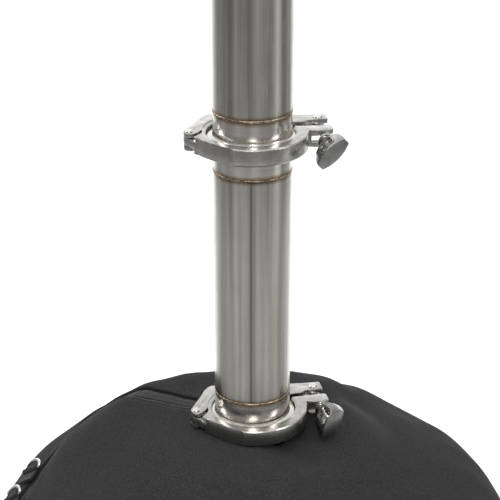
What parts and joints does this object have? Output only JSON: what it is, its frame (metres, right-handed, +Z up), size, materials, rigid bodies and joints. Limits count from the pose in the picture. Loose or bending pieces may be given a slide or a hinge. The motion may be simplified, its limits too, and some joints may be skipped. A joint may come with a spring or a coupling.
{
  "type": "parasol base",
  "caption": "Free-standing parasol base: a weighted round foot under a padded fabric jacket, with a stainless mast column joined by hinged wing-nut clamps.",
  "frame": {"origin": "centre of the rubber mat's underside, on the floor under the column axis", "axes": "+Z up along the column, +X towards the clamps' bolts, +Y to the back, away from the wing nuts"},
  "size_m": [0.586, 0.586, 0.7429],
  "materials": {
    "tube": "brushed stainless steel tube",
    "ferrule": "turned and polished stainless steel",
    "weld": "heat tinted weld bead",
    "gasket": "moulded white elastomer",
    "clamp_casting": "investment cast stainless steel, tumbled satin",
    "fastener": "machined stainless steel",
    "plate": "black powder coated steel",
    "mat": "moulded rubber sheet",
    "ballast": "cast concrete slab",
    "jacket": "matte knit-faced neoprene",
    "under_flap": "brushed loop fabric",
    "webbing": "woven webbing with a hook-and-loop face",
    "wire": "polished wire"
  },
  "bodies": {
    "foot": {"lower_gasket": "gasket", "spigot_ferrule": "ferrule", "spigot_weld": "weld", "spigot_tube": "tube", "spigot_gussets": "plate", "base_plate": "plate", "rubber_mat": "mat", "lower_ballast_1": "ballast", "lower_ballast_2": "ballast", "lower_ballast_3": "ballast", "lower_ballast_4": "ballast", "middle_ballast_1": "ballast", "middle_ballast_2": "ballast", "upper_ballast_1": "ballast", "upper_ballast_2": "ballast", "crown_weight": "ballast", "lower_front_jaw": "clamp_casting", "lower_rear_jaw": "clamp_casting", "lower_hinge_pin": "fastener", "lower_bolt_pin": "fastener", "cover_jacket": "jacket", "cover_under_flap": "under_flap", "closing_strap": "webbing", "ring_tab_1": "webbing", "ring_tab_2": "webbing"},
    "column": {"upper_gasket": "gasket", "column_upper_ferrule": "ferrule", "column_upper_weld": "weld", "column_tube": "tube", "column_lower_weld": "weld", "column_lower_ferrule": "ferrule", "upper_front_jaw": "clamp_casting", "upper_rear_jaw": "clamp_casting", "upper_hinge_pin": "fastener", "upper_bolt_pin": "fastener"},
    "mast": {"mast_tube": "tube", "mast_weld": "weld", "mast_ferrule": "ferrule"},
    "lower_bolt": {"lower_swing_bolt": "fastener"},
    "lower_washer": {"lower_nut_washer": "fastener"},
    "lower_nut": {"lower_wing_nut": "clamp_casting"},
    "upper_bolt": {"upper_swing_bolt": "fastener"},
    "upper_washer": {"upper_nut_washer": "fastener"},
    "upper_nut": {"upper_wing_nut": "clamp_casting"},
    "ring_1": {"wire_ring_1": "wire"},
    "ring_2": {"wire_ring_2": "wire"}
  },
  "joints": [
    {"name": "column_turn", "type": "hinge", "parent": "foot", "child": "column", "pos_m": [0, 0, 0.244], "axis": [0, 0, 1], "continuous": true},
    {"name": "mast_turn", "type": "hinge", "parent": "column", "child": "mast", "pos_m": [0, 0, 0.542], "axis": [0, 0, 1], "continuous": true},
    {"name": "lower_bolt_swing", "type": "hinge", "parent": "foot", "child": "lower_bolt", "pos_m": [0.06296, 0.04191, 0.244], "axis": [0, 0, 1], "range_deg": [0, 100]},
    {"name": "lower_nut_travel", "type": "slide", "parent": "lower_bolt", "child": "lower_washer", "axis": [0.2639, -0.9646, 0], "range_m": [0, 0.00375]},
    {"name": "lower_nut_spin", "type": "hinge", "parent": "lower_washer", "child": "lower_nut", "pos_m": [0.06296, 0.04191, 0.244], "axis": [0.2639, -0.9646, 0], "range_deg": [0, 1080]},
    {"name": "upper_bolt_swing", "type": "hinge", "parent": "column", "child": "upper_bolt", "pos_m": [0.06336, 0.03949, 0.542], "axis": [0, 0, 1], "range_deg": [0, 100]},
    {"name": "upper_nut_travel", "type": "slide", "parent": "upper_bolt", "child": "upper_washer", "axis": [0.1444, -0.9895, 0], "range_m": [-0.008, 0.00375]},
    {"name": "upper_nut_spin", "type": "hinge", "parent": "upper_washer", "child": "upper_nut", "pos_m": [0.06336, 0.03949, 0.542], "axis": [0.1444, -0.9895, 0], "range_deg": [-2304, 1080]},
    {"name": "ring_1_flip", "type": "hinge", "parent": "foot", "child": "ring_1", "pos_m": [-0.23402, 0.02253, 0.16214], "axis": [0.7161, -0.4126, 0.563], "range_deg": [0, 100]},
    {"name": "ring_2_flip", "type": "hinge", "parent": "foot", "child": "ring_2", "pos_m": [-0.25023, -0.01093, 0.1489], "axis": [0.6816, -0.3126, 0.6615], "range_deg": [0, 100]}
  ],
  "couplings": [
    {"joint": "lower_nut_travel", "follows": "lower_nut_spin", "m_per_rad": 0.00019894},
    {"joint": "upper_nut_travel", "follows": "upper_nut_spin", "m_per_rad": 0.00019894}
  ]
}
